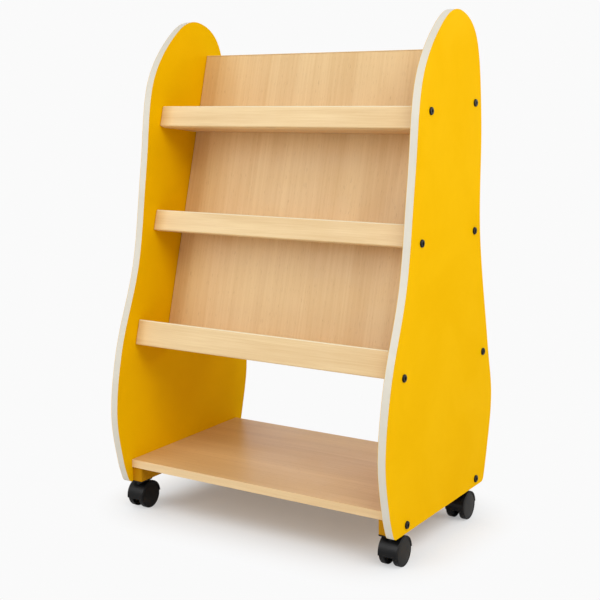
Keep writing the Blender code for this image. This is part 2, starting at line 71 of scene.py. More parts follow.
def srgb(red: int, green: int, blue: int) -> Colour:
    """Turns a colour of 0 to 255 into the linear one that shaders take.

    Args:
        red: share of red.
        green: share of green.
        blue: share of blue.

    Returns:
        The linear colour.
    """
    shares = (red / 255, green / 255, blue / 255)
    return tuple(s / 12.92 if s <= 0.04045 else ((s + 0.055) / 1.055) ** 2.4 for s in shares)


DUST = srgb(150, 146, 138)


class Hand(Enum):
    """The two sides, with the way that each faces along X."""

    LEFT = -1
    RIGHT = 1

    @property
    def word(self) -> str:
        """The side's word in node names."""
        return self.name.lower()


class Row(Enum):
    """The two rows of casters."""

    FRONT = "front"
    REAR = "rear"


class Tier(Enum):
    """The three ledges, bottom to top."""

    BOTTOM = "bottom"
    MIDDLE = "middle"
    TOP = "top"


class GrainWay(Enum):
    """The turn of the coordinates that lays the grain's length along X."""

    ACROSS = (0.0, 0.0, 0.0)
    UP_THE_BACK = (LEAN, math.radians(90), 0.0)


class NodeSketch:
    """A node tree in the making."""

    def __init__(self, tree: bpy.types.NodeTree) -> None:
        """Keeps the tree that nodes go into."""
        self.tree = tree

    def node(self, kind: str, values: dict | None = None, **settings: object) -> bpy.types.Node:
        """Adds a node.

        Args:
            kind: Blender's name of the node type.
            values: constants for its inputs, by socket name or number.
            settings: attributes of the node itself.

        Returns:
            The new node.
        """
        made = self.tree.nodes.new(kind)
        for name, value in settings.items():
            setattr(made, name, value)
        for socket, value in (values or {}).items():
            made.inputs[socket].default_value = value
        return made

    def link(self, source: bpy.types.NodeSocket, target: bpy.types.NodeSocket) -> None:
        """Joins an output to an input."""
        self.tree.links.new(source, target)

    def stretched(self, vector: bpy.types.NodeSocket, scale: Triple) -> bpy.types.NodeSocket:
        """Scales coordinates along each axis.

        Args:
            vector: coordinates to scale.
            scale: factor for each axis.

        Returns:
            The scaled coordinates.
        """
        mapping = self.node("ShaderNodeMapping", {"Scale": scale})
        self.link(vector, mapping.inputs["Vector"])
        return mapping.outputs["Vector"]

    def noise(self, vector: bpy.types.NodeSocket, scale: float, detail: float, rough: float = 0.55,
              warp: float = 0.0) -> bpy.types.NodeSocket:
        """Adds a noise texture.

        Args:
            vector: coordinates that it reads.
            scale: features for each unit of the coordinates.
            detail: octaves of finer noise.
            rough: weight of the finer noise.
            warp: distortion of the pattern.

        Returns:
            The value of the noise.
        """
        values = {"Scale": scale, "Detail": detail, "Roughness": rough, "Distortion": warp}
        texture = self.node("ShaderNodeTexNoise", values)
        self.link(vector, texture.inputs["Vector"])
        return texture.outputs["Fac"]

    def scaled(self, value: bpy.types.NodeSocket, factor: float) -> bpy.types.NodeSocket:
        """Multiplies a value by a constant.

        Args:
            value: value to scale.
            factor: the constant.

        Returns:
            The scaled value.
        """
        product = self.node("ShaderNodeMath", {1: factor}, operation="MULTIPLY")
        self.link(value, product.inputs[0])
        return product.outputs[0]

    def remapped(self, value: bpy.types.NodeSocket, low: float, high: float, to_low: float = 0.0,
                 to_high: float = 1.0) -> bpy.types.NodeSocket:
        """Maps one range of values onto another, smoothly and clamped.

        Args:
            value: value to map.
            low: start of the range.
            high: end of the range.
            to_low: result at the start.
            to_high: result at the end.

        Returns:
            The mapped value.
        """
        values = {"From Min": low, "From Max": high, "To Min": to_low, "To Max": to_high}
        mapped = self.node("ShaderNodeMapRange", values, interpolation_type="SMOOTHSTEP")
        self.link(value, mapped.inputs["Value"])
        return mapped.outputs["Result"]

    def mixed(self, share: bpy.types.NodeSocket, first: Colour | bpy.types.NodeSocket,
              second: Colour) -> bpy.types.NodeSocket:
        """Mixes two colours by a share that changes over the surface.

        Args:
            share: share of the second colour.
            first: colour, or output, at a share of 0.
            second: colour at a share of 1.

        Returns:
            The mixed colour.
        """
        mix = self.node("ShaderNodeMix", data_type="RGBA")
        colours = [socket for socket in mix.inputs if socket.type == "RGBA"]
        self.link(share, mix.inputs["Factor"])
        if isinstance(first, bpy.types.NodeSocket):
            self.link(first, colours[0])
        else:
            colours[0].default_value = (*first, 1)
        colours[1].default_value = (*second, 1)
        return next(socket for socket in mix.outputs if socket.type == "RGBA")


@cache
def wood_grain() -> bpy.types.NodeTree:
    """Builds the group for wood, whose grain runs along X of the coordinates it is given.

    Returns:
        The group, with outputs Figure (broad bands), Fibre (fine streaks) and Fleck (short dark ticks).
    """
    tree = bpy.data.node_groups.new("wood_grain", "ShaderNodeTree")
    tree.interface.new_socket("Vector", in_out="INPUT", socket_type="NodeSocketVector")
    for name in ("Figure", "Fibre", "Fleck"):
        tree.interface.new_socket(name, in_out="OUTPUT", socket_type="NodeSocketFloat")
    sketch = NodeSketch(tree)
    vector = sketch.node("NodeGroupInput").outputs["Vector"]
    ends = sketch.node("NodeGroupOutput").inputs
    bands = sketch.noise(sketch.stretched(vector, (0.9, 15.0, 15.0)), 1.0, 3.0, 0.5, 0.8)
    sketch.link(sketch.remapped(bands, 0.3, 0.7), ends["Figure"])
    streaks = sketch.noise(sketch.stretched(vector, (3.0, 190.0, 190.0)), 1.0, 5.0, 0.65, 0.2)
    sketch.link(sketch.remapped(streaks, 0.28, 0.72), ends["Fibre"])
    ticks = sketch.noise(sketch.stretched(vector, (55.0, 900.0, 900.0)), 1.0, 2.0, 0.5)
    sketch.link(sketch.remapped(ticks, 0.62, 0.74), ends["Fleck"])
    return tree


@cache
def surface_tooth() -> bpy.types.NodeTree:
    """Builds the group for the fine tooth and the handling marks of smooth hard surfaces.

    Returns:
        The group, with outputs Tooth (fine height), Smudge (broad soft patches) and Speck (specks of dust).
    """
    tree = bpy.data.node_groups.new("surface_tooth", "ShaderNodeTree")
    tree.interface.new_socket("Vector", in_out="INPUT", socket_type="NodeSocketVector")
    pitch = tree.interface.new_socket("Pitch", in_out="INPUT", socket_type="NodeSocketFloat")
    pitch.default_value = TOOTH_PITCH
    for name in ("Tooth", "Smudge", "Speck"):
        tree.interface.new_socket(name, in_out="OUTPUT", socket_type="NodeSocketFloat")
    sketch = NodeSketch(tree)
    begin = sketch.node("NodeGroupInput").outputs
    ends = sketch.node("NodeGroupOutput").inputs
    tooth = sketch.node("ShaderNodeTexNoise", {"Detail": 2.0, "Roughness": 0.5})
    sketch.link(begin["Vector"], tooth.inputs["Vector"])
    sketch.link(begin["Pitch"], tooth.inputs["Scale"])
    sketch.link(tooth.outputs["Fac"], ends["Tooth"])
    patches = sketch.noise(begin["Vector"], 5.5, 6.0, 0.62, 0.6)
    sketch.link(sketch.remapped(patches, 0.32, 0.70), ends["Smudge"])
    specks = sketch.noise(begin["Vector"], 420.0, 1.0, 0.5)
    sketch.link(sketch.remapped(specks, 0.70, 0.80), ends["Speck"])
    return tree


class MaterialBench:
    """A material in the making: its Principled shader, its coordinates and its sketch."""

    def __init__(self, name: str, turn: Triple = (0.0, 0.0, 0.0), scale: float = 1.0) -> None:
        """Starts a material.

        Args:
            name: name of the material.
            turn: turn of its coordinates, in radians.
            scale: how much finer its patterns are than usual.
        """
        self.material = bpy.data.materials.new(name)
        self.material.use_nodes = True
        self.sketch = NodeSketch(self.material.node_tree)
        self.shader = self.material.node_tree.nodes["Principled BSDF"]
        place = self.sketch.node("ShaderNodeTexCoord")
        mapping = self.sketch.node("ShaderNodeMapping", {"Rotation": turn, "Scale": (scale,) * 3})
        self.sketch.link(place.outputs["Object"], mapping.inputs["Vector"])
        self.vector = mapping.outputs["Vector"]

    def group(self, tree: bpy.types.NodeTree, values: dict | None = None) -> bpy.types.Node:
        """Places a shared group on the material's coordinates.

        Args:
            tree: the group.
            values: constants for its inputs.

        Returns:
            The group's node.
        """
        made = self.sketch.node("ShaderNodeGroup", values, node_tree=tree)
        self.sketch.link(self.vector, made.inputs["Vector"])
        return made

    def constants(self, **values: float) -> None:
        """Sets constants on the shader's own sockets, by their names with _ for a space."""
        for name, value in values.items():
            self.shader.inputs[name.replace("_", " ")].default_value = value

    def feed(self, source: bpy.types.NodeSocket, socket: str) -> None:
        """Links a value to one of the shader's sockets."""
        self.sketch.link(source, self.shader.inputs[socket])

    def sheen(self, smudge: bpy.types.NodeSocket, roughness: float, fall: float, rise: float) -> None:
        """Lets the roughness change with the smudges.

        Args:
            smudge: smudges from 0 to 1.
            roughness: usual roughness.
            fall: how much smoother it gets.
            rise: how much rougher it gets.
        """
        self.feed(self.sketch.remapped(smudge, 0.0, 1.0, roughness - fall, roughness + rise), "Roughness")

    def relief(self, height: bpy.types.NodeSocket, depth: float, strength: float) -> None:
        """Turns a height into the shader's normal.

        Args:
            height: height from 0 to 1.
            depth: depth of the relief in metres.
            strength: weight of the relief.
        """
        bump = self.sketch.node("ShaderNodeBump", {"Distance": depth, "Strength": strength})
        self.sketch.link(height, bump.inputs["Height"])
        self.feed(bump.outputs["Normal"], "Normal")


@dataclass(frozen=True)
class Wood:
    """Beech, as laminate or as solid edging, with its grain one way, and a lighter colour on marked rims that
    is a painted highlight.
    """

    name: str
    slot: str
    light: Colour
    dark: Colour
    fleck: Colour
    # Colour of marked rims: a painted highlight where light catches the rounding.
    painted_highlight: Colour
    way: GrainWay
    roughness: float = 0.44
    fineness: float = 1.0
    fleck_share: float = 0.45
    figure_share: float = 0.55
    fibre_share: float = 0.45
    pore_depth: float = 0.00008
    pore_strength: float = 0.35

    def material(self) -> bpy.types.Material:
        """Builds the finish.

        Returns:
            The material.
        """
        bench = MaterialBench(self.name, self.way.value, self.fineness)
        sketch = bench.sketch
        grain = bench.group(wood_grain()).outputs
        share = sketch.node("ShaderNodeMath", {1: self.fibre_share}, operation="MULTIPLY_ADD")
        sketch.link(grain["Fibre"], share.inputs[0])
        sketch.link(sketch.scaled(grain["Figure"], self.figure_share), share.inputs[2])
        tone = sketch.mixed(share.outputs[0], self.dark, self.light)
        tone = sketch.mixed(sketch.scaled(grain["Fleck"], self.fleck_share), tone, self.fleck)
        # Marked rims take the lighter colour: a painted highlight.
        highlight_share = sketch.node("ShaderNodeAttribute", attribute_name=PAINTED_HIGHLIGHT_EDGE).outputs["Fac"]
        bench.feed(sketch.mixed(highlight_share, tone, self.painted_highlight), "Base Color")
        bench.sheen(bench.group(surface_tooth()).outputs["Smudge"], self.roughness, 0.03, 0.04)
        bench.relief(grain["Fibre"], self.pore_depth, self.pore_strength)
        return bench.material


@dataclass(frozen=True)
class Skin:
    """A smooth hard skin, as of laminate, edging or moulding, with fine tooth and faint marks."""

    name: str
    slot: str
    colour: Colour
    worn: Colour
    roughness: float
    tooth_pitch: float = TOOTH_PITCH
    tooth_depth: float = 0.00004
    speck_share: float = 0.0
    specular: float = 0.5
    tooth_strength: float = 0.5

    def material(self) -> bpy.types.Material:
        """Builds the finish.

        Returns:
            The material.
        """
        bench = MaterialBench(self.name)
        sketch = bench.sketch
        marks = bench.group(surface_tooth(), {"Pitch": self.tooth_pitch}).outputs
        tone = sketch.mixed(marks["Smudge"], self.colour, self.worn)
        if self.speck_share:
            tone = sketch.mixed(sketch.scaled(marks["Speck"], self.speck_share), tone, DUST)
        bench.feed(tone, "Base Color")
        bench.sheen(marks["Smudge"], self.roughness, 0.05, 0.07)
        bench.relief(marks["Tooth"], self.tooth_depth, self.tooth_strength)
        bench.constants(Specular_IOR_Level=self.specular)
        return bench.material


@dataclass(frozen=True)
class Steel:
    """Steel with its plating, lightly scratched by tools and use."""

    name: str
    slot: str
    colour: Colour
    scuffed: Colour
    roughness: float
    metallic: float
    specular: float = 0.5
    tooth_pitch: float = 1500.0
    tooth_depth: float = 0.00002
    tooth_strength: float = 0.4

    def material(self) -> bpy.types.Material:
        """Builds the finish.

        Returns:
            The material.
        """
        bench = MaterialBench(self.name)
        sketch = bench.sketch
        marks = bench.group(surface_tooth(), {"Pitch": self.tooth_pitch}).outputs
        scuffs = sketch.noise(sketch.stretched(bench.vector, (300.0, 90.0, 1400.0)), 1.0, 3.0, 0.6)
        worn = sketch.remapped(scuffs, 0.58, 0.72, 0.0, 0.6)
        bench.feed(sketch.mixed(worn, self.colour, self.scuffed), "Base Color")
        bench.sheen(marks["Smudge"], self.roughness, 0.06, 0.08)
        bench.relief(marks["Tooth"], self.tooth_depth, self.tooth_strength)
        bench.constants(Metallic=self.metallic, Specular_IOR_Level=self.specular)
        return bench.material


Finish = Wood | Skin | Steel

YELLOW = Skin("yellow_laminate", "yellow_laminate", srgb(244, 188, 2), srgb(240, 183, 1), 0.48, 600.0,
              0.00006, specular=0.008)
# Darker copy of the yellow laminate: painted shade for the battens under the shelf.
BATTEN_YELLOW_SHADED = Skin("yellow_paint", "yellow_laminate", srgb(205, 146, 12), srgb(192, 134, 12), 0.55, 500.0,
                     0.00006, specular=0.05)
CREAM = Skin("cream_edging", "cream_edging", srgb(228, 222, 207), srgb(224, 218, 202), 0.5, 900.0, 0.000004)
# The fourth colour of each beech is a painted highlight, used only on rims marked for it.
BEECH_UP = Wood("beech_laminate_upright", "beech_laminate", srgb(241, 208, 153), srgb(224, 185, 127),
                srgb(176, 128, 80), srgb(246, 226, 186), GrainWay.UP_THE_BACK)
# Darker copy of the upright beech laminate: painted shade on the shelf, ledges and rails.
SHADED_BEECH = Wood("beech_laminate_flat", "beech_laminate", srgb(236, 199, 145), srgb(216, 175, 119),
             srgb(172, 124, 76), srgb(246, 226, 186), GrainWay.ACROSS, 0.38)
LIGHT_BEECH = Wood("light_beech", "light_beech", srgb(246, 216, 163), srgb(226, 190, 134),
                   srgb(190, 144, 94), srgb(252, 240, 206), GrainWay.ACROSS, 0.42, 2.6, 0.15)
# Lighter copy of the light beech: painted light on the shelf's upright edgings.
SHELF_EDGING_LIT = Wood("light_beech_shelf", "light_beech", srgb(252, 221, 170), srgb(236, 199, 145),
                    srgb(196, 150, 100), srgb(252, 240, 206), GrainWay.ACROSS, 0.42, 2.6, 0.15)
MOULDING = Skin("black_moulding", "black_moulding", srgb(14, 14, 15), srgb(19, 19, 20), 0.34, 1600.0,
                0.00004, 0.03, specular=0.2)
WHEEL = Skin("black_wheel", "black_wheel", srgb(12, 12, 13), srgb(17, 17, 18), 0.38, 1300.0,
             0.00005, 0.04, specular=0.18)
BLACK_STEEL = Steel("black_steel", "black_steel", srgb(16, 17, 18), srgb(44, 45, 47), 0.36, 0.2, 0.25)
ZINC = Steel("zinc_steel", "zinc_steel", srgb(176, 178, 180), srgb(205, 206, 208), 0.32, 1.0)


@cache
def material_of(finish: Finish) -> bpy.types.Material:
    """Builds each finish's material once."""
    return finish.material()


class Workpiece:
    """A mesh in the making, that ends as one piece of the display."""

    def __init__(self, name: str) -> None:
        """Starts an empty piece under its name."""
        self.name = name
        self.bm = bmesh.new()
        # This layer marks the rims that take a painted highlight.
        self.bm.verts.layers.float.new(PAINTED_HIGHLIGHT_EDGE)

    def block(self, low: Vector, high: Vector) -> None:
        """Adds a block.

        Args:
            low: its lowest corner.
            high: its highest corner.
        """
        verts = bmesh.ops.create_cube(self.bm, size=1.0)["verts"]
        bmesh.ops.scale(self.bm, vec=high - low, verts=verts)
        bmesh.ops.translate(self.bm, vec=(low + high) / 2, verts=verts)

    def cone(self, low: float, high: float, depth: float, segments: int) -> list[bmesh.types.BMVert]:
        """Adds a closed cone, or cylinder, upright about the origin.

        Args:
            low: radius of its lower end.
            high: radius of its upper end.
            depth: its height.
            segments: its sides.

        Returns:
            Its vertices.
        """
        made = bmesh.ops.create_cone(self.bm, cap_ends=True, cap_tris=False, segments=segments, radius1=low,
                                     radius2=high, depth=depth)
        return made["verts"]

    def rod(self, start: Vector, end: Vector, radius: float, segments: int) -> None:
        """Adds a closed cylinder.

        Args:
            start: middle of one end.
            end: middle of the other end.
            radius: radius of the cylinder.
            segments: sides of the cylinder.
        """
        way = end - start
        verts = self.cone(radius, radius, way.length, segments)
        turn = Vector((0, 0, 1)).rotation_difference(way).to_matrix()
        bmesh.ops.rotate(self.bm, matrix=turn, verts=verts)
        bmesh.ops.translate(self.bm, vec=(start + end) / 2, verts=verts)

    def revolve(self, profile: Iterable[tuple[float, float]], centre: Vector, start: float, sweep: float,
                steps: int, closed: bool) -> None:
        """Turns a profile about an axle that lies along X.

        Args:
            profile: places along X from the centre, and radii.
            centre: a point of the axle.
            start: angle of the profile, up from straight ahead.
            sweep: angle to turn, up and over to the rear.
            steps: steps of the turn.
            closed: whether the profile is a ring, whose ends are then filled.
        """
        way = Vector((0, -math.cos(start), math.sin(start)))
        verts = [self.bm.verts.new(centre + Vector((x, 0, 0)) + way * radius) for x, radius in profile]
        pairs = list(zip(verts, verts[1:])) + ([(verts[-1], verts[0])] if closed else [])
        edges = [self.bm.edges.new(pair) for pair in pairs]
        full = math.isclose(sweep, math.tau)
        bmesh.ops.spin(self.bm, geom=verts + edges, cent=centre, axis=(-1, 0, 0), dvec=(0, 0, 0), angle=sweep,
                       steps=steps, use_merge=full)
        bmesh.ops.remove_doubles(self.bm, verts=self.bm.verts, dist=MERGE)
        if not full:
            open_edges = [edge for edge in self.bm.edges if edge.is_boundary]
            bmesh.ops.holes_fill(self.bm, edges=open_edges, sides=0)
        bmesh.ops.recalc_face_normals(self.bm, faces=self.bm.faces)

    def copy_of(self, node: str) -> None:
        """Takes in a CAD node's mesh, with its triangles merged and its flat faces joined."""
        self.bm.from_mesh(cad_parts[node].data)
        bmesh.ops.remove_doubles(self.bm, verts=self.bm.verts, dist=MERGE)
        bmesh.ops.dissolve_limit(self.bm, angle_limit=FLAT, verts=self.bm.verts, edges=self.bm.edges)

    def edges(self, test: Callable[[bmesh.types.BMEdge], bool]) -> list[bmesh.types.BMEdge]:
        """Picks the edges that pass a test."""
        return [edge for edge in self.bm.edges if test(edge)]

    def soften(self, edges: Iterable[bmesh.types.BMEdge], radius: float, segments: int = 3,
               painted_highlight: bool = False) -> None:
        """Rounds edges.

        Args:
            edges: edges to round.
            radius: radius of the rounding.
            segments: faces across the rounding.
            painted_highlight: whether the rounding is marked for a lighter colour, which is a painted
                highlight.
        """
        made = bmesh.ops.bevel(self.bm, geom=list(edges), offset=radius, offset_type="OFFSET", profile=0.5,
                               segments=segments, affect="EDGES", clamp_overlap=True, material=-1)
        if painted_highlight:
            mark = self.bm.verts.layers.float[PAINTED_HIGHLIGHT_EDGE]
            rounding = set(made["faces"])
            for vert in made["verts"]:
                vert[mark] = float(rounding.issuperset(vert.link_faces))

    def lean_back(self, angle: float) -> None:
        """Leans the whole piece back about the X axis."""
        turn = Matrix.Rotation(-angle, 3, "X")
        bmesh.ops.rotate(self.bm, matrix=turn, verts=self.bm.verts)

    def finish(self, finish: Finish, body: str, *nodes: str) -> None:
        """Ends the piece: makes its object, dresses it and sets it on its body.

        Args:
            finish: finish of the piece.
            body: body that it rides on.
            nodes: CAD nodes that it stands for.
        """
        for face in self.bm.faces:
            face.smooth = True
        mesh = bpy.data.meshes.new(self.name)
        self.bm.to_mesh(mesh)
        self.bm.free()
        mesh.set_sharp_from_angle(angle=SHARP)
        mesh.materials.append(material_of(finish))
        made = bpy.data.objects.new(self.name, mesh)
        bpy.context.scene.collection.objects.link(made)
        shading = made.modifiers.new("even_shading", "WEIGHTED_NORMAL")
        shading.keep_sharp = True
        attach(made, body)
        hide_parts(*nodes)
        log.info("%s: %d faces, %s, on %s", self.name, len(mesh.polygons), finish.name, body)


def leaning_box(node: str, lean: float) -> tuple[Vector, Vector]:
    """Measures a CAD node in axes that lean back.

    Args:
        node: name of the node.
        lean: lean of the axes about X.

    Returns:
        The lowest and highest corners in those axes.
    """
    turn = Matrix.Rotation(lean, 3, "X")
    points = [turn @ vertex.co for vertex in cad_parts[node].data.vertices]
    low = Vector(min(point[axis] for point in points) for axis in range(3))
    high = Vector(max(point[axis] for point in points) for axis in range(3))
    return low, high


def dress_node(node: str, finish: Finish) -> None:
    """Gives a CAD node that stays in view its finish.

    Args:
        node: name of the node.
        finish: finish that it gets.
    """
    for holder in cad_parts[node].material_slots:
        holder.material = material_of(finish)
    log.info("%s: CAD solid, %s", node, finish.name)


@dataclass
class Boards:
    """The straight boards: back, ledges, lips, rails, base shelf, battens and their edgings."""

    edge_round: float = 0.0008
    lip_end_round: float = 0.0030
    lip_edge_round: float = 0.0030
    batten_round: float = 0.006
    lip_end_steps: int = 7
    lip_edge_steps: int = 4
    batten_steps: int = 5
    seat_gap: float = 0.0003
    joint_gap: float = 0.0010

    def plain(self, name: str, finish: Finish, lean: float = 0.0, low: Triple | None = None,
              high: Triple | None = None) -> None:
        """Builds a board with eased edges in its CAD node's place.

        Args:
            name: name of the piece and of the node.
            finish: finish of the board.
            lean: lean of the board.
            low: lowest corner in the leaning axes, where it isn't the node's.
            high: highest corner in the leaning axes, where it isn't the node's.
        """
        node_low, node_high = leaning_box(name, lean)
        work = Workpiece(f"{name}_board")
        work.block(Vector(low or node_low), Vector(high or node_high))
        work.soften(list(work.bm.edges), self.edge_round)
        work.lean_back(lean)
        work.finish(finish, CARCASS, name)

    def ledge(self, tier: Tier) -> None:
        """Builds one ledge, whose section isn't square, from its CAD node."""
        node = f"ledge_board_{tier.value}"
        work = Workpiece(f"{node}_board")
        work.copy_of(node)
        work.soften(list(work.bm.edges), self.edge_round)
        work.finish(SHADED_BEECH, CARCASS, node)

    def lip(self, tier: Tier) -> None:
        """Builds one lip, with well rounded ends and eased long edges; its top rim carries a painted
        highlight.
        """
        node = f"ledge_lip_{tier.value}"
        low, high = leaning_box(node, LEAN)
        work = Workpiece(f"{node}_board")
        work.block(low, high)
        ends = work.edges(lambda edge: all(abs(v.co.y - low.y) < MERGE for v in edge.verts)
                          and abs(edge.verts[0].co.z - edge.verts[1].co.z) > MERGE)
        work.soften(ends, self.lip_end_round, self.lip_end_steps)
        # Only the top rim is marked: its lighter colour is a painted highlight; the bottom rim, in shade, is
        # not.
        for level, painted_highlight in ((low.z, False), (high.z, True)):
            rims = work.edges(lambda edge: all(abs(v.co.z - level) < MERGE for v in edge.verts)
                              and any(v.co.y < high.y - MERGE for v in edge.verts))
            work.soften(rims, self.lip_edge_round, self.lip_edge_steps, painted_highlight)
        work.lean_back(LEAN)
        work.finish(LIGHT_BEECH, CARCASS, node)

    def batten(self, hand: Hand) -> None:
        """Builds one batten under the base shelf, rounded on its inner lower edges, in a darker yellow that
        is painted shade.
        """
        node = f"caster_batten_{hand.word}"
        low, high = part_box(node)
        high.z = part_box("base_shelf")[0].z - self.seat_gap
        inner = low.x if hand is Hand.RIGHT else high.x
        work = Workpiece(f"{node}_block")
        work.block(low, high)
        rounded = work.edges(lambda edge: all(abs(v.co.x - inner) < MERGE for v in edge.verts)
                             and not all(abs(v.co.z - high.z) < MERGE for v in edge.verts))
        work.soften(rounded, self.batten_round, self.batten_steps)
        work.finish(BATTEN_YELLOW_SHADED, CARCASS, node)

    def build(self) -> None:
        """Builds every board."""
        back_low, back_high = leaning_box("back_panel", LEAN)
        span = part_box("ledge_board_bottom")
        back_low.x = span[0].x + self.joint_gap
        back_high.x = span[1].x - self.joint_gap
        self.plain("back_panel", BEECH_UP, LEAN, back_low, back_high)
        self.plain("back_top_edging", LIGHT_BEECH, LEAN)
        for tier in Tier:
            self.ledge(tier)
            self.lip(tier)
            self.plain(f"rear_rail_{tier.value}", SHADED_BEECH)
        self.plain("base_shelf", SHADED_BEECH)
        # The shelf edgings take the lighter copy of the light beech, which is painted light.
        for row in Row:
            self.plain(f"shelf_edging_{row.value}", SHELF_EDGING_LIT)
        for hand in Hand:
            self.batten(hand)


@dataclass
class SidePanel:
    """One shaped side panel, with its edge band and the bolts on its outer face."""

    hand: Hand
    band: float = 0.002
    skin: float = 0.0006
    curve_steps: int = 5
    head_radius: float = 0.0082
    head_height: float = 0.0034
    head_round: float = 0.0020
    head_sides: int = 24
    head_steps: int = 5
    socket_radius: float = 0.0034
    socket_depth: float = 0.0018
    shank_radius: float = 0.0030
    shank_sides: int = 16
    holds: tuple[str, ...] = ("base_front", "base_rear", "lip_bottom", "lip_middle", "lip_top", "rail_bottom",
                              "rail_middle", "rail_top")

    def outline(self) -> list[Vector]:
        """Reads the outer edge of the CAD band, in order round the panel.

        Returns:
            Points of the outline on the panel's inner face.
        """
        low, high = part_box(f"side_panel_{self.hand.word}")
        inner = low.x if self.hand is Hand.RIGHT else high.x
        ring = bmesh.new()
        ring.from_mesh(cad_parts[f"edge_band_{self.hand.word}"].data)
        bmesh.ops.remove_doubles(ring, verts=ring.verts, dist=MERGE)
        outside = [face for face in ring.faces if abs(face.normal.x) < 0.5]
        rims = [edge for face in outside for edge in face.edges
                if all(abs(v.co.x - inner) < NEAR_FACE for v in edge.verts)]
        ahead: dict[bmesh.types.BMVert, list[bmesh.types.BMVert]] = {}
        for edge in set(rims):
            for vert in edge.verts:
                ahead.setdefault(vert, []).append(edge.other_vert(vert))
        first = min(ahead, key=lambda vert: vert.co.y)
        loop = [first, ahead[first][0]]
        while loop[-1] is not first:
            loop.append(next(vert for vert in ahead[loop[-1]] if vert is not loop[-2]))
        points = [Vector((inner, vert.co.y, vert.co.z)) for vert in loop[:-1]]
        ring.free()
        return points

    def sheet(self, name: str) -> tuple[Workpiece, bmesh.types.BMFace]:
        """Lays out the panel's smooth outline as one flat face.

        Args:
            name: name of the piece that it starts.

        Returns:
            The started piece, and its face.
        """
        points = self.outline()
        curve = bpy.data.curves.new(name, "CURVE")
        curve.dimensions = "3D"
        curve.resolution_u = self.curve_steps
        spline = curve.splines.new("BEZIER")
        spline.use_cyclic_u = True
        spline.bezier_points.add(len(points) - 1)
        knots = spline.bezier_points
        for knot, point in zip(knots, points):
            knot.co = point
            knot.handle_left_type = "AUTO"
            knot.handle_right_type = "AUTO"
        count = len(points)
        foot = max(range(count), key=lambda i: (points[(i + 1) % count] - points[i]).length)
        knots[foot].handle_right_type = "VECTOR"
        knots[(foot + 1) % count].handle_left_type = "VECTOR"
        holder = bpy.data.objects.new(name, curve)
        bpy.context.scene.collection.objects.link(holder)
        mesh = bpy.data.meshes.new_from_object(holder.evaluated_get(bpy.context.evaluated_depsgraph_get()))
        work = Workpiece(name)
        work.bm.from_mesh(mesh)
        bpy.data.objects.remove(holder)
        bpy.data.curves.remove(curve)
        bpy.data.meshes.remove(mesh)
        bmesh.ops.remove_doubles(work.bm, verts=work.bm.verts, dist=MERGE)
        face = bmesh.ops.contextual_create(work.bm, geom=work.bm.edges)["faces"][0]
        bmesh.ops.inset_region(work.bm, faces=[face], thickness=self.band, use_even_offset=True,
                               use_boundary=True)
        return work, face

    def thicken(self, work: Workpiece, faces: list[bmesh.types.BMFace], depth: float,
                keep: bool) -> list[bmesh.types.BMFace]:
        """Pushes flat faces outward.

        Args:
            work: the piece that they belong to.
            faces: faces to push.
            depth: how far they go.
            keep: whether faces stay where they were, too.

        Returns:
            The faces at their new place.
        """
        made = bmesh.ops.extrude_face_region(work.bm, geom=faces, use_keep_orig=keep)["geom"]
        moved = [item for item in made if isinstance(item, bmesh.types.BMVert)]
        bmesh.ops.translate(work.bm, vec=(depth * self.hand.value, 0, 0), verts=moved)
        return [item for item in made if isinstance(item, bmesh.types.BMFace)]

    def thickness(self) -> float:
        """The thickness of the board."""
        low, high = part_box(f"side_panel_{self.hand.word}")
        return high.x - low.x

    def board(self) -> None:
        """Builds the yellow board: a core inside the band, and skins that reach over it to the outline."""
        work, core = self.sheet(f"side_panel_{self.hand.word}_board")
        bm = work.bm
        area = core.calc_area()
        pushed = self.thicken(work, list(bm.faces), self.skin, True)
        inside = min(pushed, key=lambda face: abs(face.calc_area() - area))
        middle = self.thicken(work, [inside], self.thickness() / 2 - self.skin, False)
        bmesh.ops.delete(bm, geom=middle, context="FACES_ONLY")
        twin = bmesh.ops.duplicate(bm, geom=bm.verts[:] + bm.edges[:] + bm.faces[:])["geom"]
        turned = [item for item in twin if isinstance(item, bmesh.types.BMVert)]
        middle_x = sum(corner.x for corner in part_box(f"side_panel_{self.hand.word}")) / 2
        plane = Matrix.Translation((-middle_x, 0, 0))
        bmesh.ops.scale(bm, vec=(-1, 1, 1), space=plane, verts=turned)
        bmesh.ops.remove_doubles(bm, verts=bm.verts, dist=MERGE)
        bmesh.ops.recalc_face_normals(bm, faces=bm.faces)
        work.finish(YELLOW, CARCASS, f"side_panel_{self.hand.word}")

    def edging(self) -> None:
        """Builds the band right round the board, between its skins."""
        work, core = self.sheet(f"edge_band_{self.hand.word}_strip")
        bmesh.ops.delete(work.bm, geom=[core], context="FACES_ONLY")
        bmesh.ops.translate(work.bm, vec=(self.skin * self.hand.value, 0, 0), verts=work.bm.verts)
        self.thicken(work, list(work.bm.faces), self.thickness() - 2 * self.skin, True)
        bmesh.ops.recalc_face_normals(work.bm, faces=work.bm.faces)
        work.finish(CREAM, CARCASS, f"edge_band_{self.hand.word}")

